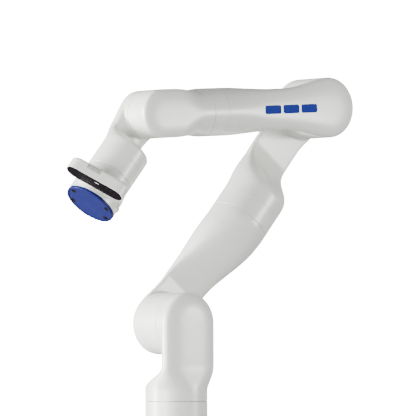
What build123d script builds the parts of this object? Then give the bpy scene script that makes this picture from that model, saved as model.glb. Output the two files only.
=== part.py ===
"""Seven-joint lightweight robot arm: base, six hooked link shells, tool bracelet, seven rotary actuators.

Frame: origin at the centre of the mounting face, +Z up, +X towards the forearm's reach, millimetres.
Each link lies in the XZ plane; its tilt is measured from +Z towards +X.
"""

import os
from math import cos, pi, radians, sin

from build123d import *

# ---- arm pose and link lengths ----
UPPER_TILT = -39.6
FOREARM_TILT = 93.3
TOOL_TILT = 140.3
J1_HEIGHT = 156.4
SHOULDER_LENGTH = 128.4
HALF_ARM_1_LENGTH = 210.4
HALF_ARM_2_LENGTH = 210.4
FOREARM_LENGTH = 208.4
WRIST_1_LENGTH = 105.9
WRIST_2_LENGTH = 105.9
TOOL_FACE = 64.3

# ---- lateral stations of the links (along Y) ----
J2_Y = -5.4
UPPER_Y = -11.8
J4_Y = -5.4
FOREARM_Y = 1.0
WRIST_Y = 0.7

# ---- sizes shared by the shells ----
R_LARGE = 45.6
R_SMALL = 35.8
WALL = 3.0
GAP = 0.6
FIT = 0.05
SPIGOT_FIT = 0.35
# seats bored at a shell's ring end, one for the spigot and one for the motor can
CAN_GAP = 4.6
SEAT_DEPTH = 18
TUCK = 1.2
CORNER = 0.783
SHAFT_BORE = 9.0


def axis_of(tilt):
    return Vector(sin(radians(tilt)), 0, cos(radians(tilt)))


def side_of(tilt):
    return Vector(cos(radians(tilt)), 0, -sin(radians(tilt)))


def link_plane(point, tilt):
    """Plane across a link: local x in the arm's plane, local y along +Y, local z along the link."""
    return Plane(origin=point, x_dir=side_of(tilt), z_dir=axis_of(tilt))


def at_y(point, y):
    return Vector(point.X, y, point.Z)


def mix(a, b, t):
    return a + (b - a) * t


def ease(s, start, end):
    """0 before start, 1 after end, smooth between them."""
    t = min(1.0, max(0.0, (s - start) / (end - start)))
    return t * t * (3 - 2 * t)


# ---- joint centres ----
P1 = Vector(0, 0, J1_HEIGHT)
P2 = Vector(0, J2_Y, J1_HEIGHT + SHOULDER_LENGTH)
P3 = at_y(P2 + axis_of(UPPER_TILT) * HALF_ARM_1_LENGTH, UPPER_Y)
P4 = at_y(P3 + axis_of(UPPER_TILT) * HALF_ARM_2_LENGTH, J4_Y)
P5 = at_y(P4 + axis_of(FOREARM_TILT) * FOREARM_LENGTH, FOREARM_Y)
P6 = at_y(P5 + axis_of(FOREARM_TILT) * WRIST_1_LENGTH, WRIST_Y)
P7 = at_y(P6 + axis_of(TOOL_TILT) * WRIST_2_LENGTH, WRIST_Y)

os.makedirs("parts", exist_ok=True)


def save(part, label):
    part.label = label
    export_step(part, f"parts/{label}.step")


# ---------------------------------------------------------------- actuators
# Local z runs along the joint's axis towards its output. "back" and "front" are the ends of the visible ring.
ACTUATORS = [
    # name, centre, plane x, axis, ring radius, back, front, spigot depth
    ("j1", P1, (1, 0, 0), (0, 0, 1), R_LARGE, 15.2, 14.8, 17),
    ("j2", P2, (1, 0, 0), (0, 1, 0), R_LARGE, 14.8, 15.6, 15),
    ("j3", P3, side_of(UPPER_TILT), -axis_of(UPPER_TILT), R_LARGE, 15.0, 15.2, 17),
    ("j4", P4, (1, 0, 0), (0, 1, 0), R_LARGE, 14.8, 15.0, 15),
    ("j5", P5, side_of(FOREARM_TILT), axis_of(FOREARM_TILT), R_SMALL, 12.8, 13.8, 14),
    ("j6", P6, (1, 0, 0), (0, -1, 0), R_SMALL, 18.0, 9.6, 9),
    ("j7", P7, side_of(TOOL_TILT), axis_of(TOOL_TILT), R_SMALL, 13.0, 14.0, 14),
]


def half_section(plane, points):
    """A closed profile in the plane's x-z half, given as (radius, height) corners, ready to revolve."""
    section = Plane(origin=plane.origin, x_dir=plane.x_dir, z_dir=-plane.y_dir)
    with BuildSketch(section, mode=Mode.PRIVATE) as profile:
        with BuildLine():
            Polyline(*points, close=True)
        make_face()
    return profile.sketch


for name, centre, side, axis, ring_r, back, front, depth in ACTUATORS:
    base = Plane(origin=centre, x_dir=side, z_dir=axis)
    turn = Axis(centre, axis)
    spigot_r = ring_r - WALL - SPIGOT_FIT
    can_r = ring_r - 5
    bore_r = ring_r - 7
    floor_z = -back - depth
    winding_r = 0.56 * ring_r
    race_r = ring_r - 15
    wave_r = 0.5 * ring_r
    stator_top = floor_z + 2.5 + min(19.0, 0.5 * (depth + back))
    tip = front + GAP
    lip = 0.5

    with BuildPart() as housing:
        add(half_section(base, [
            (10, floor_z), (can_r, floor_z), (can_r, -back - 4), (spigot_r, -back - 4),
            (spigot_r, -back), (ring_r - lip, -back),
            (ring_r, -back + lip), (ring_r, front - lip), (ring_r - lip, front),
            (bore_r, front), (bore_r, floor_z + 2.5), (10, floor_z + 2.5),
        ]))
        revolve(axis=turn)
    save(housing.part, f"{name}_housing")

    with BuildPart() as stator:
        add(half_section(base, [
            (winding_r, floor_z + 3), (bore_r - 4, floor_z + 3), (bore_r - 4, floor_z + 5),
            (bore_r, floor_z + 5), (bore_r, stator_top - 2), (bore_r - 4, stator_top - 2),
            (bore_r - 4, stator_top), (winding_r, stator_top),
        ]))
        revolve(axis=turn)
        with BuildSketch(base.offset(stator_top)):
            with PolarLocations((winding_r + bore_r - 4) / 2, 12):
                SlotCenterToCenter(bore_r - winding_r - 8, 2.4)
        extrude(amount=-3, mode=Mode.SUBTRACT)
    save(stator.part, f"{name}_stator")

    with BuildPart() as rotor:
        add(half_section(base, [
            (SHAFT_BORE, floor_z + 3.5), (winding_r - 0.6, floor_z + 3.5),
            (winding_r - 0.6, stator_top - 0.5), (13, stator_top - 0.5),
            (13, front - 10), (wave_r, front - 10), (wave_r, front - 6),
            (SHAFT_BORE, front - 6),
        ]))
        revolve(axis=turn)
    save(rotor.part, f"{name}_rotor")

    with BuildPart() as bearing:
        add(half_section(base, [
            (race_r, front - 9), (bore_r, front - 9), (bore_r, front - 1), (race_r, front - 1),
            (race_r, front - 3), (race_r + 1.6, front - 5), (race_r, front - 7),
        ]))
        revolve(axis=turn)
    save(bearing.part, f"{name}_bearing")

    with BuildPart() as output:
        add(half_section(base, [
            (wave_r + 0.5, front - 11), (wave_r + 1.6, front - 11), (wave_r + 1.6, front - 8),
            (race_r - 0.4, front - 8), (race_r - 0.4, tip), (spigot_r, tip), (spigot_r, tip + 3),
            (12, tip + 3), (12, front - 4), (wave_r + 0.5, front - 4),
        ]))
        revolve(axis=turn)
        with Locations(base.offset(tip + 3)):
            with PolarLocations(ring_r - 9, 8):
                Hole(1.7, depth=3)
    save(output.part, f"{name}_output")


# ---------------------------------------------------------------- link shells
def oval(plane, half_width, y_back, y_mid, y_front, power):
    """Closed superellipse: widest at y_mid, with its own depth on each side."""
    points = []
    count = 16
    for i in range(count):
        angle = 2 * pi * (i + 0.5) / count
        c, s = cos(angle), sin(angle)
        x = half_width * abs(c) ** (2 / power) * (1 if c > 0 else -1)
        depth = (y_front - y_mid) if s > 0 else (y_mid - y_back)
        y = y_mid + depth * abs(s) ** (2 / power) * (1 if s > 0 else -1)
        points.append((x, y))
    with BuildSketch(plane, mode=Mode.PRIVATE) as section:
        with BuildLine():
            Spline(*points, periodic=True)
        make_face()
    return section.sketch


def cap_profile(centre, tilt, radius, seam_y, mid_y, face_y, inset):
    """Half section of a joint's end cap: a straight collar rounding over into a nearly flat face."""
    section = Plane(origin=(centre.X, 0, centre.Z), x_dir=side_of(tilt), z_dir=axis_of(tilt))
    r = radius - inset
    face = face_y - inset * (1 if face_y > seam_y else -1)
    with BuildSketch(section, mode=Mode.PRIVATE) as profile:
        with BuildLine():
            Polyline((0, face), (0, seam_y), (r, seam_y), (r, mid_y))
            Bezier((r, mid_y), (r, mix(mid_y, face, CORNER)), (CORNER * r, face), (0, face))
        make_face()
    return profile.sketch


def tube_stations(law, start, end, ring_s, count, inset):
    """Sections from start to end, inset for the inner wall and tucked inside the end cap at the joint."""
    for i in range(count + 1):
        s = mix(start, end, i / count)
        half, y_back, y_mid, y_front, power = law(s)
        cut = inset + TUCK * ease(abs(s - ring_s), 20, 90)
        yield s, half - cut, y_back + cut, y_mid, y_front - cut, power


def shell_bodies(origin, tilt, law, start, end, ring_s, count, cap, inset, overrun=0.0):
    """Solid of one link: lofted tube joined to the revolved cap, both inset by the same amount."""
    plane = link_plane(origin, tilt)
    with BuildPart(mode=Mode.PRIVATE) as body:
        for s, half, y_back, y_mid, y_front, power in tube_stations(law, start, end, ring_s, count, inset):
            add(oval(plane.offset(s), half, y_back, y_mid, y_front, power))
        loft()
        centre, radius, seam_y, mid_y, face_y = cap
        out = seam_y + overrun * (1 if seam_y > face_y else -1)
        add(cap_profile(centre, tilt, radius, out, mid_y, face_y, inset))
        revolve(axis=Axis((centre.X, 0, centre.Z), (0, 1, 0)))
    return body.part


def shoulder_law(s):
    t = ease(s, 32, 66)
    front = mix(R_LARGE, 41.5, ease(s, 28, 68))
    return R_LARGE, mix(-R_LARGE, 20, t), mix(0, 26.1, t), front, mix(2, 3, ease(s, 29, 60))


def half_arm_1_law(s):
    half = R_LARGE - 9.3 * ease(s, 0, 62) * (1 - ease(s, 88, 172))
    linear = min(1.0, max(0.0, (s - 66) / 122))
    front = mix(-38, UPPER_Y + R_LARGE, 0.5 * (linear + ease(s, 66, 188)))
    back = mix(-57, UPPER_Y - R_LARGE, ease(s, 60, 180))
    return half, back, mix(-38.8, UPPER_Y, ease(s, 60, 190)), front, mix(3, 2, ease(s, 80, 190))


def half_arm_2_law(s):
    half = R_LARGE - 8.8 * ease(s, 0, 58) * (1 - ease(s, 108, 165))
    front = mix(-38, UPPER_Y + R_LARGE, ease(s, 94, 176))
    back = mix(-57, UPPER_Y - R_LARGE, ease(s, 60, 180))
    return half, back, mix(-38.8, UPPER_Y, ease(s, 95, 185)), front, mix(3, 2, ease(s, 100, 188))


def forearm_law(s):
    half = mix(mix(R_LARGE, 31.4, ease(s, -8, 85)), R_SMALL, ease(s, 105, 183))
    back = mix(18.5, FOREARM_Y - R_SMALL, ease(s, 88, 180))
    front = mix(38.5, FOREARM_Y + R_SMALL, ease(s, 0, 180))
    return half, back, mix(24.2, FOREARM_Y, ease(s, 60, 178)), front, mix(3, 2, ease(s, 90, 180))


def wrist_1_law(s):
    half = R_SMALL - 2.2 * ease(s, 20, 44) * (1 - ease(s, 46, 85))
    back = mix(FOREARM_Y - R_SMALL, 21, ease(s, 32, 70))
    front = mix(FOREARM_Y + R_SMALL, 37, ease(s, 20, 70))
    return half, back, mix(FOREARM_Y, 27, ease(s, 30, 70)), front, mix(2, 3, ease(s, 26, 72))


def wrist_2_law(s):
    half = R_SMALL - 5.2 * ease(s, 0, 42) * (1 - ease(s, 46, 76))
    back = mix(-39.4, WRIST_Y - R_SMALL, ease(s, 20, 88))
    front = mix(-13, WRIST_Y + R_SMALL, ease(s, 45, 72))
    return half, back, mix(-24.5, WRIST_Y, ease(s, 40, 74)), front, mix(3, 2, ease(s, 40, 76))


# name, start joint, tilt, law, first and last station, sections,
# cap (centre, radius, seam y, mid y, face y)
SHELLS = [
    ("shoulder_shell", P1, 0.0, shoulder_law, 128.4, 15.4, 12, (P2, R_LARGE, 10.8, 26.1, 41.5)),
    ("half_arm_1_shell", P2, UPPER_TILT, half_arm_1_law, 194.6, 0.0, 12,
     (P2, R_LARGE, -20.2, -38.8, -57.0)),
    ("half_arm_2_shell", P4, UPPER_TILT + 180, half_arm_2_law, 195.4, 0.0, 12,
     (P4, R_LARGE, -20.2, -38.8, -57.0)),
    ("forearm_shell", P4, FOREARM_TILT, forearm_law, 195.6, 0.0, 12, (P4, R_LARGE, 10.2, 24.2, 38.5)),
    ("wrist_1_shell", P5, FOREARM_TILT, wrist_1_law, 105.9, 14.4, 12, (P6, R_SMALL, 18.7, 27.0, 37.0)),
    ("wrist_2_shell", P6, TOOL_TILT, wrist_2_law, 92.9, 0.0, 12, (P6, R_SMALL, -9.5, -24.5, -39.4)),
]

for name, start_joint, tilt, law, first, last, count, cap in SHELLS:
    origin = at_y(start_joint, 0)
    upward = name in ("shoulder_shell", "wrist_1_shell")
    ring_s = last if upward else first
    start = first if upward else first + 2
    end = last - 2 if upward else last
    outer = shell_bodies(origin, tilt, law, first, last, ring_s, count, cap, 0)
    inner = shell_bodies(origin, tilt, law, start, end, ring_s, count, cap, WALL, 2)
    into = 1 if upward else -1
    ring_r, _, ring_y, _, _ = law(ring_s)
    mouth = link_plane(origin, tilt).offset(ring_s - into)
    with BuildPart() as shell:
        add(outer)
        add(inner, mode=Mode.SUBTRACT)
        with BuildSketch(mouth):
            with Locations((0, ring_y)):
                Circle(ring_r - WALL + 0.1)
        extrude(amount=into * 7, mode=Mode.SUBTRACT)
        with BuildSketch(mouth):
            with Locations((0, ring_y)):
                Circle(ring_r - CAN_GAP)
        extrude(amount=into * (SEAT_DEPTH + 1), mode=Mode.SUBTRACT)
    save(shell.part, name)


# ---------------------------------------------------------------- base
PLATE_R = 75
PLATE_T = 8
BOLT_CIRCLE = 134
BOLT_HOLE = 9
BASE_TOP = J1_HEIGHT - 15.2
FOOT_R = 60
REAR_X = -92
PANEL_Y = 62
PANEL_Z = 50
PANEL_MID = 42

with BuildPart() as base_plate:
    with BuildSketch(Plane.XY):
        Circle(PLATE_R)
        with Locations((-48, 0)):
            RectangleRounded(96, 88, 12)
        with PolarLocations(BOLT_CIRCLE / 2, 4, start_angle=45):
            Circle(BOLT_HOLE / 2, mode=Mode.SUBTRACT)
        Circle(14, mode=Mode.SUBTRACT)
    extrude(amount=PLATE_T)
    with BuildSketch(Plane.XY.offset(PLATE_T)):
        Circle(FOOT_R - WALL - FIT)
        Circle(FOOT_R - WALL - 5, mode=Mode.SUBTRACT)
        with Locations((-60, 0)):
            Rectangle(60, 110, mode=Mode.SUBTRACT)
    extrude(amount=6)
save(base_plate.part, "base_plate")


def base_profile(inset):
    r_top, r_foot = R_LARGE - inset, FOOT_R - inset
    with BuildSketch(Plane.XZ, mode=Mode.PRIVATE) as profile:
        with BuildLine():
            Line((0, PLATE_T - inset), (r_foot, PLATE_T - inset))
            Line((r_foot, PLATE_T - inset), (r_foot, 20))
            Spline((r_foot, 20), (mix(r_foot, r_top, 0.5), 62), (r_top, 108), tangents=((0, 1), (0, 1)))
            Line((r_top, 108), (r_top, BASE_TOP + inset))
            Line((r_top, BASE_TOP + inset), (0, BASE_TOP + inset))
            Line((0, BASE_TOP + inset), (0, PLATE_T - inset))
        make_face()
    return profile.sketch


def rear_box(inset):
    """Connector housing behind the column, rounded on its upright and upper edges."""
    with BuildPart(mode=Mode.PRIVATE) as box:
        with BuildSketch(Plane.XY.offset(PLATE_T - inset)):
            with Locations((REAR_X / 2, 0)):
                RectangleRounded(-REAR_X - 2 * inset, 84 - 2 * inset, 12 - inset)
        extrude(amount=76 - PLATE_T)
        fillet(box.faces().sort_by(Axis.Z)[-1].edges(), 10 - inset)
    return box.part


rear_outer = rear_box(0)
rear_inner = rear_box(WALL)
with BuildPart() as base_shell:
    add(base_profile(0))
    revolve(axis=Axis.Z)
    add(rear_outer)
    add(base_profile(WALL))
    revolve(axis=Axis.Z, mode=Mode.SUBTRACT)
    add(rear_inner, mode=Mode.SUBTRACT)
    with BuildSketch(Plane(origin=(REAR_X - 1, 0, PANEL_MID), x_dir=(0, 1, 0), z_dir=(1, 0, 0))):
        RectangleRounded(PANEL_Y, PANEL_Z, 3)
    extrude(amount=WALL + 2, mode=Mode.SUBTRACT)
save(base_shell.part, "base_shell")

panel_plane = Plane(origin=(REAR_X + 0.4, 0, PANEL_MID), x_dir=(0, -1, 0), z_dir=(-1, 0, 0))
POWER_AT = (-18, -11)
STOP_AT = (-19, 13)
NETWORK_AT = [(2, -14), (2, 4)]
USB_AT = [(19, -14), (19, -4)]
BUTTON_AT = (19, 13)
LIGHT_AT = (2, 19)
LIGHT_SIZE = (12, 3)

with BuildPart() as connector_panel:
    with BuildSketch(panel_plane):
        RectangleRounded(PANEL_Y - 0.2, PANEL_Z - 0.2, 2.9)
    extrude(amount=-2.6)
    with BuildSketch(panel_plane):
        with Locations(POWER_AT):
            Circle(9.05)
        with Locations(STOP_AT):
            Circle(7.05)
        with Locations(*NETWORK_AT):
            Rectangle(14.1, 12.1)
        with Locations(*USB_AT):
            Rectangle(13.1, 5.7)
        with Locations(BUTTON_AT):
            Circle(6.3)
        with Locations(LIGHT_AT):
            Rectangle(LIGHT_SIZE[0] + 0.1, LIGHT_SIZE[1] + 0.1)
    extrude(amount=-3, mode=Mode.SUBTRACT)
save(connector_panel.part, "connector_panel")


def round_jack(at, bore, flange, reach, pins, pin_circle):
    """Round panel connector: flange outside, body through the panel, pin cavity with pins."""
    with BuildPart() as jack:
        with BuildSketch(panel_plane):
            with Locations(at):
                Circle(flange)
        extrude(amount=3)
        with BuildSketch(panel_plane):
            with Locations(at):
                Circle(bore)
        extrude(amount=-12)
        with BuildSketch(panel_plane.offset(3)):
            with Locations(at):
                Circle(bore - 2)
        extrude(amount=-reach, mode=Mode.SUBTRACT)
        with BuildSketch(panel_plane.offset(3 - reach)):
            with Locations(at):
                with PolarLocations(pin_circle, pins):
                    Circle(0.9)
        extrude(amount=reach - 2)
    return jack.part


save(round_jack(POWER_AT, 9, 11, 10, 4, 3.4), "power_inlet")
save(round_jack(STOP_AT, 7, 8.5, 9, 6, 3.0), "stop_jack")

with BuildPart() as network_jacks:
    with BuildSketch(panel_plane.offset(0.6)):
        with Locations(*NETWORK_AT):
            Rectangle(14, 12)
    extrude(amount=-16)
    with BuildSketch(panel_plane.offset(0.6)):
        with Locations(*NETWORK_AT):
            Rectangle(11.6, 8)
            with Locations((0, -4.6)):
                Rectangle(5, 2.4)
    extrude(amount=-12, mode=Mode.SUBTRACT)
save(network_jacks.part, "network_jacks")

with BuildPart() as usb_jacks:
    with BuildSketch(panel_plane.offset(0.6)):
        with Locations(*USB_AT):
            Rectangle(13, 5.6)
    extrude(amount=-14)
    with BuildSketch(panel_plane.offset(0.6)):
        with Locations(*USB_AT):
            Rectangle(12, 4.6)
            Rectangle(11, 1.6, mode=Mode.SUBTRACT)
    extrude(amount=-11, mode=Mode.SUBTRACT)
save(usb_jacks.part, "usb_jacks")

with BuildPart() as power_button:
    with BuildSketch(panel_plane.offset(2.4)):
        with Locations(BUTTON_AT):
            Circle(6)
    extrude(amount=-7)
    fillet(power_button.faces().sort_by(Axis.X)[0].edges(), 0.8)
    with BuildSketch(panel_plane.offset(-4.6)):
        with Locations(BUTTON_AT):
            Circle(7.5)
    extrude(amount=-1.6)
save(power_button.part, "power_button")

with BuildPart() as status_light:
    with BuildSketch(panel_plane.offset(0.5)):
        with Locations(LIGHT_AT):
            Rectangle(*LIGHT_SIZE)
    extrude(amount=-4)
save(status_light.part, "status_light")

with BuildPart() as controller_board:
    with BuildSketch(Plane.XY.offset(22)):
        with Locations((-8, 0)):
            RectangleRounded(72, 64, 4)
        with Locations((-8, 0)):
            with GridLocations(62, 54, 2, 2):
                Circle(1.6, mode=Mode.SUBTRACT)
    extrude(amount=1.6)
    with BuildSketch(Plane.XY.offset(23.6)):
        with Locations((-12, 6)):
            Rectangle(18, 18)
        with Locations((16, -8)):
            Rectangle(12, 14)
        with Locations((-14, -18)):
            Rectangle(24, 8)
    extrude(amount=4)
    with BuildSketch(Plane.XY.offset(23.6)):
        with Locations((14, 16), (4, 20)):
            Circle(4)
    extrude(amount=11)
    with BuildSketch(Plane.XY.offset(PLATE_T)):
        with Locations((-8, 0)):
            with GridLocations(46, 40, 2, 2):
                Circle(3)
    extrude(amount=22 - PLATE_T)
save(controller_board.part, "controller_board")


# ---------------------------------------------------------------- bracelet and tool face
CAP_R = 38.4
CAP_T = 4.0
BRACELET_START = 14.6
FLANGE_T = 7
SCREW_L = 27.6
SCREW_O = 14.7
HEAD_R = 4.25
SHANK_R = 2.5
VISION_OUT = 52.5
VISION_FACE = 58.5
VISION_DEPTH = 19.5
VISION_SIZE = (94, 29.5)
WINDOW_SIZE = (92, 27.5)
WINDOW_T = 1.5
BUTTON_S = 51.5
TOOL_TURN = 49.7
BUTTON_ANGLE = 10
BUTTON_R = 3.5

tool_axis = axis_of(TOOL_TILT)
tool_side = side_of(TOOL_TILT)
long_dir = Vector(0, cos(radians(TOOL_TURN)), 0) + tool_side * sin(radians(TOOL_TURN))
tool_plane = Plane(origin=P7, x_dir=long_dir, z_dir=tool_axis)
tool_line = Axis(P7, tool_axis)


def bracelet_profile(inset):
    section = Plane(origin=P7, x_dir=tool_side, z_dir=(0, -1, 0))
    with BuildSketch(section, mode=Mode.PRIVATE) as profile:
        with BuildLine():
            Line((0, BRACELET_START - inset), (R_SMALL - inset, BRACELET_START - inset))
            Line((R_SMALL - inset, BRACELET_START - inset), (R_SMALL - inset, 22))
            Spline((R_SMALL - inset, 22), (CAP_R - inset, 44), tangents=((0, 1), (0, 1)))
            Line((CAP_R - inset, 44), (CAP_R - inset, TOOL_FACE + inset))
            Line((CAP_R - inset, TOOL_FACE + inset), (0, TOOL_FACE + inset))
            Line((0, TOOL_FACE + inset), (0, BRACELET_START - inset))
        make_face()
    return profile.sketch


def radial_plane(angle, r):
    """Plane on the bracelet, facing outward, at an angle from the camera housing's long direction."""
    out = long_dir.rotate(Axis((0, 0, 0), tool_axis), angle)
    return Plane(origin=P7 + tool_axis * BUTTON_S + out * r, x_dir=tool_axis, z_dir=out)


with BuildPart() as bracelet_shell:
    add(bracelet_profile(0))
    revolve(axis=tool_line)
    add(bracelet_profile(WALL))
    revolve(axis=tool_line, mode=Mode.SUBTRACT)
    for angle in (-BUTTON_ANGLE, BUTTON_ANGLE):
        with BuildSketch(radial_plane(angle, 30)):
            Circle(BUTTON_R + 0.3)
        extrude(amount=12, mode=Mode.SUBTRACT)
    with BuildSketch(tool_plane.offset(46)):
        with Locations((0, 36)):
            Rectangle(20, 9)
    extrude(amount=6, mode=Mode.SUBTRACT)
save(bracelet_shell.part, "bracelet_shell")

with BuildPart() as tool_flange:
    with BuildSketch(tool_plane.offset(TOOL_FACE - FLANGE_T)):
        Circle(CAP_R - WALL - FIT)
        Circle(11, mode=Mode.SUBTRACT)
        with GridLocations(2 * SCREW_L, 2 * SCREW_O, 2, 2):
            Circle(SHANK_R + FIT, mode=Mode.SUBTRACT)
    extrude(amount=FLANGE_T)
save(tool_flange.part, "tool_flange")

with BuildPart() as interface_cap:
    with BuildSketch(tool_plane.offset(TOOL_FACE)):
        Circle(CAP_R)
    extrude(amount=CAP_T)
    fillet(interface_cap.faces().sort_by(tool_line)[-1].edges(), 1.2)
    with BuildSketch(tool_plane.offset(TOOL_FACE + CAP_T)):
        Circle(CAP_R - 3.2)
    extrude(amount=-0.6, mode=Mode.SUBTRACT)
    with BuildSketch(tool_plane.offset(TOOL_FACE + CAP_T)):
        with GridLocations(2 * SCREW_L, 2 * SCREW_O, 2, 2):
            Circle(HEAD_R + 0.35)
    extrude(amount=-2.8, mode=Mode.SUBTRACT)
    with BuildSketch(tool_plane.offset(TOOL_FACE)):
        with GridLocations(2 * SCREW_L, 2 * SCREW_O, 2, 2):
            Circle(SHANK_R + FIT)
    extrude(amount=CAP_T, mode=Mode.SUBTRACT)
save(interface_cap.part, "interface_cap")

with BuildPart() as cap_screws:
    with BuildSketch(tool_plane.offset(TOOL_FACE + CAP_T - 2.8)):
        with GridLocations(2 * SCREW_L, 2 * SCREW_O, 2, 2):
            Circle(HEAD_R)
    extrude(amount=2.4)
    with BuildSketch(tool_plane.offset(TOOL_FACE + CAP_T - 0.4)):
        with GridLocations(2 * SCREW_L, 2 * SCREW_O, 2, 2):
            RegularPolygon(2.3, 6)
    extrude(amount=-1.8, mode=Mode.SUBTRACT)
    with BuildSketch(tool_plane.offset(TOOL_FACE + CAP_T - 2.8)):
        with GridLocations(2 * SCREW_L, 2 * SCREW_O, 2, 2):
            Circle(SHANK_R)
    extrude(amount=-7)
save(cap_screws.part, "cap_screws")

with BuildPart() as vision_housing:
    with BuildSketch(tool_plane.offset(VISION_FACE)):
        with Locations((0, VISION_OUT)):
            SlotOverall(*VISION_SIZE)
    extrude(amount=-VISION_DEPTH)
    fillet(vision_housing.faces().sort_by(tool_line)[0].edges(), 5)
    with BuildSketch(tool_plane.offset(VISION_FACE - 1)):
        with Locations((0, 24)):
            Rectangle(56, 48)
    extrude(amount=-13)
    with BuildSketch(tool_plane.offset(VISION_FACE - 40)):
        Circle(CAP_R)
    extrude(amount=44, mode=Mode.SUBTRACT)
    with BuildSketch(tool_plane.offset(VISION_FACE)):
        with Locations((0, VISION_OUT)):
            SlotOverall(WINDOW_SIZE[0] + 0.1, WINDOW_SIZE[1] + 0.1)
    extrude(amount=-WINDOW_T, mode=Mode.SUBTRACT)
    with BuildSketch(tool_plane.offset(VISION_FACE - WINDOW_T)):
        with Locations((0, VISION_OUT)):
            SlotOverall(WINDOW_SIZE[0] - 5, WINDOW_SIZE[1] - 9)
    extrude(amount=-12, mode=Mode.SUBTRACT)
    with BuildSketch(Plane(origin=tool_plane.origin + tool_plane.y_dir * (VISION_OUT + 15.75),
                           x_dir=long_dir, z_dir=tool_plane.y_dir)):
        with Locations((-9, -(VISION_FACE - VISION_DEPTH + 4))):
            with GridLocations(2.5, 1, 9, 1):
                Rectangle(1.3, 12)
    extrude(amount=-5, mode=Mode.SUBTRACT)
save(vision_housing.part, "vision_housing")

with BuildPart() as vision_window:
    with BuildSketch(tool_plane.offset(VISION_FACE - WINDOW_T)):
        with Locations((0, VISION_OUT)):
            SlotOverall(*WINDOW_SIZE)
    extrude(amount=WINDOW_T)
save(vision_window.part, "vision_window")

with BuildPart() as camera_module:
    with BuildSketch(tool_plane.offset(VISION_FACE - WINDOW_T - 12)):
        with Locations((0, VISION_OUT)):
            Rectangle(66, 13)
    extrude(amount=2)
    with BuildSketch(tool_plane.offset(VISION_FACE - WINDOW_T - 10)):
        with Locations((-28, VISION_OUT), (28, VISION_OUT), (16, VISION_OUT)):
            Circle(4.5)
        with Locations((0, VISION_OUT)):
            Rectangle(9, 6)
    extrude(amount=7)
    with BuildSketch(tool_plane.offset(VISION_FACE - WINDOW_T - 3)):
        with Locations((-28, VISION_OUT), (28, VISION_OUT), (16, VISION_OUT)):
            Circle(3)
    extrude(amount=-1.5, mode=Mode.SUBTRACT)
save(camera_module.part, "camera_module")

for suffix, angle in (("a", -BUTTON_ANGLE), ("b", BUTTON_ANGLE)):
    with BuildPart() as wrist_button:
        with BuildSketch(radial_plane(angle, CAP_R - WALL - 0.8)):
            Circle(BUTTON_R)
        extrude(amount=WALL + 2.2)
        fillet(wrist_button.edges().sort_by(Axis(P7, radial_plane(angle, 0).z_dir))[-1], 0.6)
        with BuildSketch(radial_plane(angle, CAP_R - WALL - 0.6)):
            Circle(BUTTON_R + 1.2)
        extrude(amount=-1.5)
    save(wrist_button.part, f"wrist_button_{suffix}")
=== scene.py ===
import math

import bmesh
import bpy
from mathutils import Matrix, Vector


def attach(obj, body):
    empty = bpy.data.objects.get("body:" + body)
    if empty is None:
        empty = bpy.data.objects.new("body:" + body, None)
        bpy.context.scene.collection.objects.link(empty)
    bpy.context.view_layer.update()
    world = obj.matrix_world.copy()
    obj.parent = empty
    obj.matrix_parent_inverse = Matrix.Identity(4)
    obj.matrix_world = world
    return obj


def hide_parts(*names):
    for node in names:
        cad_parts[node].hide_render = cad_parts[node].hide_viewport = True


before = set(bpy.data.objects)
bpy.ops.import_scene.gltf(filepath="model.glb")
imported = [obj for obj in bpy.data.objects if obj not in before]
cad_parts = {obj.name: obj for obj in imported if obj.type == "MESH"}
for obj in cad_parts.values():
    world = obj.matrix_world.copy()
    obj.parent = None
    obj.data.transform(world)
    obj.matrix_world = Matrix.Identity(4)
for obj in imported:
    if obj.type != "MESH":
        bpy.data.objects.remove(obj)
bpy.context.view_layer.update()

# ------------------------------------------------------------------ geometry of the arm (millimetres)
UP, FO, TO = -39.6, 93.3, 140.3
RL, RS, WALL = 45.6, 35.8, 3.0
Y_UP, Y_FO, Y_WR = -11.8, 1.0, 0.7


def axis_of(t):
    return Vector((math.sin(math.radians(t)), 0, math.cos(math.radians(t))))


def side_of(t):
    return Vector((math.cos(math.radians(t)), 0, -math.sin(math.radians(t))))


def at(p, y):
    return Vector((p.x, y, p.z))


P1 = Vector((0, 0, 156.4))
P2 = Vector((0, -5.4, 284.8))
P3 = at(P2 + axis_of(UP) * 210.4, Y_UP)
P4 = at(P3 + axis_of(UP) * 210.4, -5.4)
P5 = at(P4 + axis_of(FO) * 208.4, Y_FO)
P6 = at(P5 + axis_of(FO) * 105.9, Y_WR)
P7 = at(P6 + axis_of(TO) * 105.9, Y_WR)


def mix(a, b, t):
    return a + (b - a) * t


def ease(s, a, b):
    t = min(1.0, max(0.0, (s - a) / (b - a)))
    return t * t * (3 - 2 * t)


def shoulder_law(s):
    t = ease(s, 32, 66)
    front = mix(RL, 41.5, ease(s, 28, 68))
    return RL, mix(-RL, 20, t), mix(0, 26.1, t), front, mix(2, 3, ease(s, 29, 60))


def half_arm_1_law(s):
    half = RL - 9.3 * ease(s, 0, 62) * (1 - ease(s, 88, 172))
    lin = min(1.0, max(0.0, (s - 66) / 122))
    front = mix(-38, Y_UP + RL, 0.5 * (lin + ease(s, 66, 188)))
    return (
        half, mix(-57, Y_UP - RL, ease(s, 60, 180)), mix(-38.8, Y_UP, ease(s, 60, 190)), front,
        mix(3, 2, ease(s, 80, 190)),
    )


def half_arm_2_law(s):
    half = RL - 8.8 * ease(s, 0, 58) * (1 - ease(s, 108, 165))
    front = mix(-38, Y_UP + RL, ease(s, 94, 176))
    return (
        half, mix(-57, Y_UP - RL, ease(s, 60, 180)), mix(-38.8, Y_UP, ease(s, 95, 185)), front,
        mix(3, 2, ease(s, 100, 188)),
    )


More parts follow.
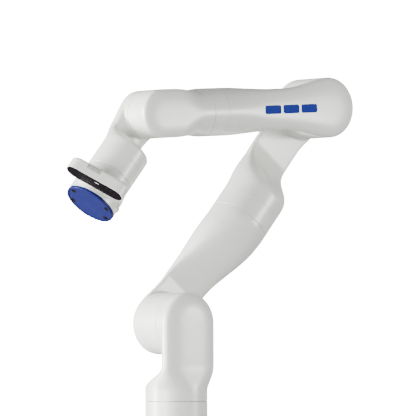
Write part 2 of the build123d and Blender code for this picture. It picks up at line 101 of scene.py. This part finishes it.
def forearm_law(s):
    half = mix(mix(RL, 31.4, ease(s, -8, 85)), RS, ease(s, 105, 183))
    return (
        half, mix(18.5, Y_FO - RS, ease(s, 88, 180)), mix(24.2, Y_FO, ease(s, 60, 178)),
        mix(38.5, Y_FO + RS, ease(s, 0, 180)), mix(3, 2, ease(s, 90, 180)),
    )


def wrist_1_law(s):
    half = RS - 2.2 * ease(s, 20, 44) * (1 - ease(s, 46, 85))
    return (
        half, mix(Y_FO - RS, 21, ease(s, 32, 70)), mix(Y_FO, 27, ease(s, 30, 70)),
        mix(Y_FO + RS, 37, ease(s, 20, 70)), mix(2, 3, ease(s, 26, 72)),
    )


def wrist_2_law(s):
    half = RS - 5.2 * ease(s, 0, 42) * (1 - ease(s, 46, 76))
    return (
        half, mix(-39.4, Y_WR - RS, ease(s, 20, 88)), mix(-24.5, Y_WR, ease(s, 40, 74)),
        mix(-13, Y_WR + RS, ease(s, 45, 72)), mix(3, 2, ease(s, 40, 76)),
    )


# ------------------------------------------------------------------ materials
def noise(nt, scale, detail=4.0, rough=0.5):
    tc = nt.nodes.new("ShaderNodeTexCoord")
    n = nt.nodes.new("ShaderNodeTexNoise")
    n.inputs["Scale"].default_value = scale
    n.inputs["Detail"].default_value = detail
    n.inputs["Roughness"].default_value = rough
    nt.links.new(tc.outputs["Object"], n.inputs["Vector"])
    return n


def spread(nt, source, low, high):
    m = nt.nodes.new("ShaderNodeMapRange")
    m.inputs["To Min"].default_value = low
    m.inputs["To Max"].default_value = high
    nt.links.new(source, m.inputs["Value"])
    return m.outputs["Result"]


def make_material(
    name, color, rough, vary=0.02, rough_vary=0.06, metallic=0.0, coat=0.0, bump=0.02, grain=900,
    patch=14, **extra,
):
    mat = bpy.data.materials.new(name)
    mat.use_nodes = True
    nt = mat.node_tree
    b = nt.nodes["Principled BSDF"]
    n1 = noise(nt, patch, 5)
    hsv = nt.nodes.new("ShaderNodeHueSaturation")
    hsv.inputs["Color"].default_value = (*color, 1)
    nt.links.new(spread(nt, n1.outputs["Fac"], 1 - vary, 1 + vary), hsv.inputs["Value"])
    nt.links.new(hsv.outputs["Color"], b.inputs["Base Color"])
    n2 = noise(nt, patch * 3.1, 6, 0.6)
    nt.links.new(
        spread(nt, n2.outputs["Fac"], max(0.02, rough - rough_vary), rough + rough_vary),
        b.inputs["Roughness"],
    )
    b.inputs["Metallic"].default_value = metallic
    b.inputs["Coat Weight"].default_value = coat
    b.inputs["Coat Roughness"].default_value = 0.3
    n3 = noise(nt, grain, 2)
    bp = nt.nodes.new("ShaderNodeBump")
    bp.inputs["Strength"].default_value = bump
    bp.inputs["Distance"].default_value = 0.0004
    nt.links.new(n3.outputs["Fac"], bp.inputs["Height"])
    nt.links.new(bp.outputs["Normal"], b.inputs["Normal"])
    for k, v in extra.items():
        b.inputs[k.replace("_", " ")].default_value = v
    return mat


SHELL = make_material(
    "shell_coat", (0.66, 0.67, 0.625), 0.36, vary=0.012, rough_vary=0.05, coat=0.6, bump=0.05,
    grain=1400,
)
RING = make_material(
    "ring_coat", (0.67, 0.68, 0.635), 0.38, vary=0.012, rough_vary=0.05, coat=0.6, bump=0.05,
    grain=1400,
)
ALLOY = make_material("alloy", (0.62, 0.63, 0.64), 0.32, metallic=1.0, rough_vary=0.1, bump=0.08)
PLATE = make_material("plate", (0.66, 0.67, 0.66), 0.42, metallic=1.0, rough_vary=0.08, bump=0.1)
STEEL = make_material("steel", (0.5, 0.5, 0.51), 0.28, metallic=1.0, rough_vary=0.1, bump=0.06)
COPPER = make_material(
    "windings", (0.55, 0.24, 0.09), 0.4, metallic=0.9, vary=0.15, rough_vary=0.12, bump=0.35, grain=320,
)
BLUE = make_material(
    "cap_blue", (0.004, 0.006, 0.070), 0.42, vary=0.06, rough_vary=0.08, bump=0.12, grain=700,
    Specular_IOR_Level=0.12,
)
SCREW = make_material(
    "black_screw", (0.004, 0.004, 0.005), 0.45, metallic=0.0, rough_vary=0.12, bump=0.1,
    Specular_IOR_Level=0.1,
)
DARK = make_material("panel_dark", (0.025, 0.025, 0.028), 0.5, vary=0.12, bump=0.3, grain=900)
BOARD = make_material("board", (0.01, 0.12, 0.045), 0.35, vary=0.2, bump=0.2, grain=260, patch=60)
WINDOW = make_material(
    "window", (0.0035, 0.0025, 0.0035), 0.4, vary=0.1, rough_vary=0.03, bump=0.01,
    Specular_IOR_Level=0.02,
)
LENS = make_material("lens", (0.02, 0.02, 0.025), 0.2, vary=0.1, bump=0.05, coat=0.5)
LIGHT = make_material("light", (0.5, 0.85, 0.6), 0.3, bump=0.02)
BUTTON = make_material("button", (0.62, 0.63, 0.63), 0.4, bump=0.08)
MARK = make_material("mark_blue", (0.004, 0.016, 0.20), 0.6, vary=0.08, bump=0.04, Specular_IOR_Level=0.1)


# ------------------------------------------------------------------ mesh helpers
def new_object(name, verts, faces, smooth=True):
    me = bpy.data.meshes.new(name)
    me.from_pydata([v * 0.001 for v in verts], [], faces)
    me.validate()
    ob = bpy.data.objects.new(name, me)
    bpy.context.scene.collection.objects.link(ob)
    bm = bmesh.new()
    bm.from_mesh(me)
    bmesh.ops.recalc_face_normals(bm, faces=bm.faces)
    bm.to_mesh(me)
    bm.free()
    if smooth:
        for p in me.polygons:
            p.use_smooth = True
    return ob


def grid_faces(rows, cols):
    out = []
    for i in range(rows - 1):
        for j in range(cols):
            k = (j + 1) % cols
            out.append((i * cols + j, i * cols + k, (i + 1) * cols + k, (i + 1) * cols + j))
    return out


def superellipse(half, back, mid, front, power, cols):
    pts = []
    for j in range(cols):
        a = 2 * math.pi * j / cols
        c, s = math.cos(a), math.sin(a)
        x = half * abs(c) ** (2 / power) * (1 if c >= 0 else -1)
        depth = (front - mid) if s > 0 else (mid - back)
        pts.append((x, mid + depth * abs(s) ** (2 / power) * (1 if s > 0 else -1)))
    return pts


def tube(name, origin, tilt, law, s0, s1, rows=90, cols=128):
    """Closed skin of the link's neck and tube from station s0 to s1."""
    o, ax, sd = at(origin, 0), axis_of(tilt), side_of(tilt)
    verts = []
    for i in range(rows):
        s = mix(s0, s1, i / (rows - 1))
        for x, y in superellipse(*law(s), cols):
            verts.append(o + ax * s + sd * x + Vector((0, y, 0)))
    faces = grid_faces(rows, cols)
    faces.append(tuple(range(cols - 1, -1, -1)))
    faces.append(tuple(range((rows - 1) * cols, rows * cols)))
    return new_object(name, verts, faces)


def lathe(name, profile, centre, axis, cols=192, smooth=True):
    """profile: (radius, height) along the axis, millimetres."""
    axis = axis.normalized()
    u = axis.orthogonal().normalized()
    v = axis.cross(u)
    verts = []
    rows = len(profile)
    for r, h in profile:
        for j in range(cols):
            a = 2 * math.pi * j / cols
            verts.append(centre + axis * h + (u * math.cos(a) + v * math.sin(a)) * r)
    faces = grid_faces(rows, cols)
    faces.append(tuple(range(cols - 1, -1, -1)))
    faces.append(tuple(range((rows - 1) * cols, rows * cols)))
    return new_object(name, verts, faces, smooth)


def cap_body(name, centre, radius, seam, mid, face, over):
    """Closed disc of a joint's end cap, run over the seam so that the seam can be cut clean afterwards."""
    sgn = 1 if face > seam else -1
    profile = [(radius, seam - sgn * over)]
    for i in range(12):
        profile.append((radius, mix(seam, mid, i / 12)))
    n = 40
    for i in range(n):
        a = 0.5 * math.pi * i / n
        profile.append((radius * math.cos(a) ** (2 / 3), mid + (face - mid) * math.sin(a) ** (2 / 3)))
    profile.append((0.5, face))
    return lathe(name, profile, at(centre, 0), Vector((0, 1, 0)))


def set_active(ob):
    bpy.ops.object.select_all(action="DESELECT")
    ob.select_set(True)
    bpy.context.view_layer.objects.active = ob


def apply_modifiers(ob):
    set_active(ob)
    for m in list(ob.modifiers):
        bpy.ops.object.modifier_apply(modifier=m.name)


def by_angle(ob, degrees=32):
    set_active(ob)
    bpy.ops.object.shade_smooth_by_angle(angle=math.radians(degrees))


VOXEL = 0.0011


def link_shell(node, body, origin, tilt, law, ring_s, cap, smooth_steps=14):
    """Smooth skin of a link: tube and end cap melted together, then both seams cut crisp."""
    centre, radius, seam, mid, face = cap
    ax = axis_of(tilt)
    far = (at(centre, 0) - at(origin, 0)).dot(ax)
    reach = 9 if ring_s > far else -9
    a = tube(
        node + "_skin", origin, tilt, lambda s: law(min(s, ring_s) if reach > 0 else max(s, ring_s)),
        far, ring_s + reach,
    )
    b = cap_body(node + "_cap", centre, radius, seam, mid, face, 7)
    set_active(a)
    b.select_set(True)
    bpy.ops.object.join()
    a.modifiers.new("r", "REMESH").mode = "VOXEL"
    a.modifiers["r"].voxel_size = VOXEL
    a.modifiers["r"].use_smooth_shade = True
    s = a.modifiers.new("s", "SMOOTH")
    s.factor = 0.5
    s.iterations = smooth_steps
    apply_modifiers(a)
    bm = bmesh.new()
    bm.from_mesh(a.data)
    cut_point = (at(origin, 0) + ax * ring_s) * 0.001
    bmesh.ops.bisect_plane(bm, geom=bm.verts[:] + bm.edges[:] + bm.faces[:], dist=1e-7, plane_co=cut_point,
                           plane_no=ax * (1 if reach > 0 else -1), clear_outer=True)
    out = -1 if face > seam else 1
    near = []
    c = at(centre, 0) * 0.001
    for f in bm.faces:
        m = f.calc_center_median()
        r = math.hypot(m.x - c.x, m.z - c.z)
        if r < (radius + 2.5) * 0.001 and (m.y * 1000 - seam) * out > -6:
            near.append(f)
    geom = set(near)
    for f in near:
        geom.update(f.verts)
        geom.update(f.edges)
    bmesh.ops.bisect_plane(bm, geom=list(geom), dist=1e-7, plane_co=Vector((0, seam * 0.001, 0)),
                           plane_no=Vector((0, out, 0)), clear_outer=True)
    loose = [v for v in bm.verts if not v.link_faces]
    bmesh.ops.delete(bm, geom=loose, context="VERTS")
    bm.to_mesh(a.data)
    bm.free()
    so = a.modifiers.new("wall", "SOLIDIFY")
    so.thickness = WALL * 0.001
    so.offset = -1
    bv = a.modifiers.new("edge", "BEVEL")
    bv.width = 0.00035
    bv.segments = 2
    bv.limit_method = "ANGLE"
    bv.angle_limit = math.radians(50)
    apply_modifiers(a)
    by_angle(a, 40)
    a.name = node + "_skin"
    a.data.materials.clear()
    a.data.materials.append(SHELL)
    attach(a, body)
    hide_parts(node)
    return a


skins = {}
for node, body, origin, tilt, law, ring_s, cap in (
    ("shoulder_shell", "shoulder", P1, 0.0, shoulder_law, 15.4, (P2, RL, 10.8, 26.1, 41.5)),
    ("half_arm_1_shell", "half_arm_1", P2, UP, half_arm_1_law, 194.6, (P2, RL, -20.2, -38.8, -57.0)),
    ("half_arm_2_shell", "half_arm_2", P4, UP + 180, half_arm_2_law, 195.4, (P4, RL, -20.2, -38.8, -57.0)),
    ("forearm_shell", "forearm", P4, FO, forearm_law, 195.6, (P4, RL, 10.2, 24.2, 38.5)),
    ("wrist_1_shell", "wrist_1", P5, FO, wrist_1_law, 14.4, (P6, RS, 18.7, 27.0, 37.0)),
    ("wrist_2_shell", "wrist_2", P6, TO, wrist_2_law, 92.9, (P6, RS, -9.5, -24.5, -39.4)),
):
    skins[node] = link_shell(node, body, origin, tilt, law, ring_s, cap)

# ------------------------------------------------------------------ finishes of the CAD nodes
finish = {
    "base_plate": PLATE, "base_shell": SHELL, "controller_board": BOARD,
    "connector_panel": DARK, "power_inlet": ALLOY,
    "stop_jack": ALLOY, "network_jacks": ALLOY, "usb_jacks": ALLOY,
    "power_button": BUTTON, "status_light": LIGHT,
    "bracelet_shell": SHELL, "tool_flange": ALLOY, "interface_cap": BLUE,
    "cap_screws": SCREW, "vision_housing": SHELL,
    "vision_window": WINDOW, "camera_module": LENS, "wrist_button_a": BUTTON, "wrist_button_b": BUTTON,
}
for k in range(1, 8):
    finish[f"j{k}_housing"] = RING
    finish[f"j{k}_stator"] = COPPER
    for x in ("rotor", "bearing", "output"):
        finish[f"j{k}_{x}"] = STEEL
for name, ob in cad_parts.items():
    mat = finish.get(name, SHELL)
    ob.data.materials.clear()
    ob.data.materials.append(mat)
    for p in ob.data.polygons:
        p.material_index = 0

# ------------------------------------------------------------------ plain coloured bar on the forearm's side
def forearm_mark():
    o, ax, sd = at(P4, 0), axis_of(FO), side_of(FO)
    n_s, n_e = 60, 12
    verts, faces = [], []
    for s0, s1 in ((32, 62), (66, 96), (100, 130)):
        start = len(verts)
        for i in range(n_s + 1):
            for j in range(n_e + 1):
                u, w = i / n_s, j / n_e
                half = 6.5
                edge = 3.0
                x = min(u * (s1 - s0), (1 - u) * (s1 - s0))
                h = half if x > edge else half - edge + math.sqrt(max(0.0, edge ** 2 - (edge - x) ** 2))
                verts.append(o + ax * mix(s0, s1, u) + sd * (0.5 + mix(-h, h, w)) + Vector((0, 44, 0)))
        for i in range(n_s):
            for j in range(n_e):
                q = start + i * (n_e + 1) + j
                faces.append((q, q + 1, q + n_e + 2, q + n_e + 1))
    ob = new_object("forearm_mark", verts, faces)
    sw = ob.modifiers.new("fit", "SHRINKWRAP")
    sw.target = skins["forearm_shell"]
    sw.wrap_method = "PROJECT"
    sw.use_project_y = True
    sw.use_negative_direction = True
    sw.use_positive_direction = False
    sw.offset = 0.00012
    apply_modifiers(ob)
    so = ob.modifiers.new("film", "SOLIDIFY")
    so.thickness = 0.0001
    so.offset = -1
    apply_modifiers(ob)
    ob.data.materials.append(MARK)
    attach(ob, "forearm")
    return ob


forearm_mark()


# ------------------------------------------------------------------ small pieces on the camera housing: a painted reflection bar on the window and painted shade in the vents
TOOL_TURN = math.radians(49.7)
tool_w = axis_of(TO)
tool_u = Vector((0, 1, 0)) * math.cos(TOOL_TURN) + side_of(TO) * math.sin(TOOL_TURN)
tool_v = tool_w.cross(tool_u)
BOX_FACES = ((0, 1, 2, 3), (4, 5, 6, 7), (0, 1, 5, 4), (1, 2, 6, 5), (2, 3, 7, 6), (3, 0, 4, 7))


def tool_boxes(name, boxes, material):
    """Boxes given as (from, to) along the housing, outward from the tool axis, and along the tool axis."""
    verts, faces = [], []
    for (u0, u1), (v0, v1), (w0, w1) in boxes:
        start = len(verts)
        for w in (w0, w1):
            for u, v in ((u0, v0), (u1, v0), (u1, v1), (u0, v1)):
                verts.append(P7 + tool_u * u + tool_v * v + tool_w * w)
        faces += [tuple(start + k for k in f) for f in BOX_FACES]
    ob = new_object(name, verts, faces, False)
    ob.data.materials.append(material)
    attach(ob, "bracelet")


# pale strip lying on the dark window: a painted reflection of a lamp, not a part
tool_boxes("painted_window_reflection", [((0.0, 7.0), (56.9, 58.1), (58.5, 58.65))], BUTTON)
# near-black slats set into the vent slots: painted shade standing in for the shade inside the slots
vent_x = [-19 + 2.5 * i for i in range(9)]
tool_boxes("vent_painted_shade", [((x - 0.6, x + 0.6), (63.5, 65.4), (41.5, 48.7)) for x in vent_x], WINDOW)

# ------------------------------------------------------------------ floor, light and camera
floor = lathe(
    "floor", [(1500, -3.0), (1500, 0.0)], Vector((0, 0, 0)), Vector((0, 0, 1)), cols=96, smooth=False,
)
floor.data.materials.append(make_material("floor_pale", (0.42, 0.42, 0.42), 0.6, vary=0.01, bump=0.02))

world = bpy.data.worlds.new("studio")
bpy.context.scene.world = world
world.use_nodes = True
wt = world.node_tree
bg = wt.nodes["Background"]
coord = wt.nodes.new("ShaderNodeTexCoord")
split = wt.nodes.new("ShaderNodeSeparateXYZ")
wt.links.new(coord.outputs["Generated"], split.inputs[0])
height = wt.nodes.new("ShaderNodeMath")
height.operation = "ABSOLUTE"
wt.links.new(split.outputs["Z"], height.inputs[0])
ramp = wt.nodes.new("ShaderNodeMapRange")
ramp.inputs["From Min"].default_value = 0.0
ramp.inputs["From Max"].default_value = 0.8
ramp.inputs["To Min"].default_value = 1.05
ramp.inputs["To Max"].default_value = 0.2
wt.links.new(height.outputs[0], ramp.inputs["Value"])
bg.inputs["Color"].default_value = (1, 1, 1, 1)
wt.links.new(ramp.outputs["Result"], bg.inputs["Strength"])
bright = wt.nodes.new("ShaderNodeBackground")
bright.inputs["Color"].default_value = (1, 1, 1, 1)
bright.inputs["Strength"].default_value = 20
path = wt.nodes.new("ShaderNodeLightPath")
mixer = wt.nodes.new("ShaderNodeMixShader")
wt.links.new(path.outputs["Is Camera Ray"], mixer.inputs[0])
wt.links.new(bg.outputs[0], mixer.inputs[1])
wt.links.new(bright.outputs[0], mixer.inputs[2])
wt.links.new(mixer.outputs[0], wt.nodes["World Output"].inputs["Surface"])


def area(name, loc, target, size, power, color=(1, 1, 1)):
    d = bpy.data.lights.new(name, "AREA")
    d.shape = "RECTANGLE"
    d.size, d.size_y = size
    d.energy = power
    d.color = color
    ob = bpy.data.objects.new(name, d)
    ob.location = loc
    ob.rotation_euler = (Vector(target) - Vector(loc)).to_track_quat("-Z", "Y").to_euler()
    bpy.context.scene.collection.objects.link(ob)
    return ob


view_dir = Vector((-0.60716, -0.79422, 0.02379))
target = Vector((-0.05, 0, 0.42))


def around(azimuth, height, distance):
    a = math.radians(azimuth)
    return target + Vector((math.cos(a) * distance, math.sin(a) * distance, height))


area("key", around(-32, 0.25, 3.0), target, (0.8, 1.6), 420)
area("left", around(8, 0.2, 3.2), target, (1.4, 1.0), 170)
area("right", around(127, 0.1, 3.0), target, (0.5, 0.5), 65)

# the camera in units of the square picture
PICTURE_SIDE = 416
FOCAL_LENGTH = 3929.03
OPTICAL_CENTRE = 216.06
cam = bpy.data.cameras.new("camera")
cam.sensor_width = 36
cam.lens = FOCAL_LENGTH / PICTURE_SIDE * cam.sensor_width
cam.shift_y = (OPTICAL_CENTRE - PICTURE_SIDE / 2) / PICTURE_SIDE
cam.clip_end = 60
camera = bpy.data.objects.new("camera", cam)
back = -view_dir.normalized()
up = Vector((0.01247, 0.02041, 0.99971))
rt = up.cross(back).normalized()
up = back.cross(rt).normalized()
camera.matrix_world = Matrix.Translation(
    Vector((3.46542, 4.61048, 0.30532)),
) @ Matrix((rt, up, back)).transposed().to_4x4()
bpy.context.scene.collection.objects.link(camera)
bpy.context.scene.camera = camera

bpy.context.view_layer.update()
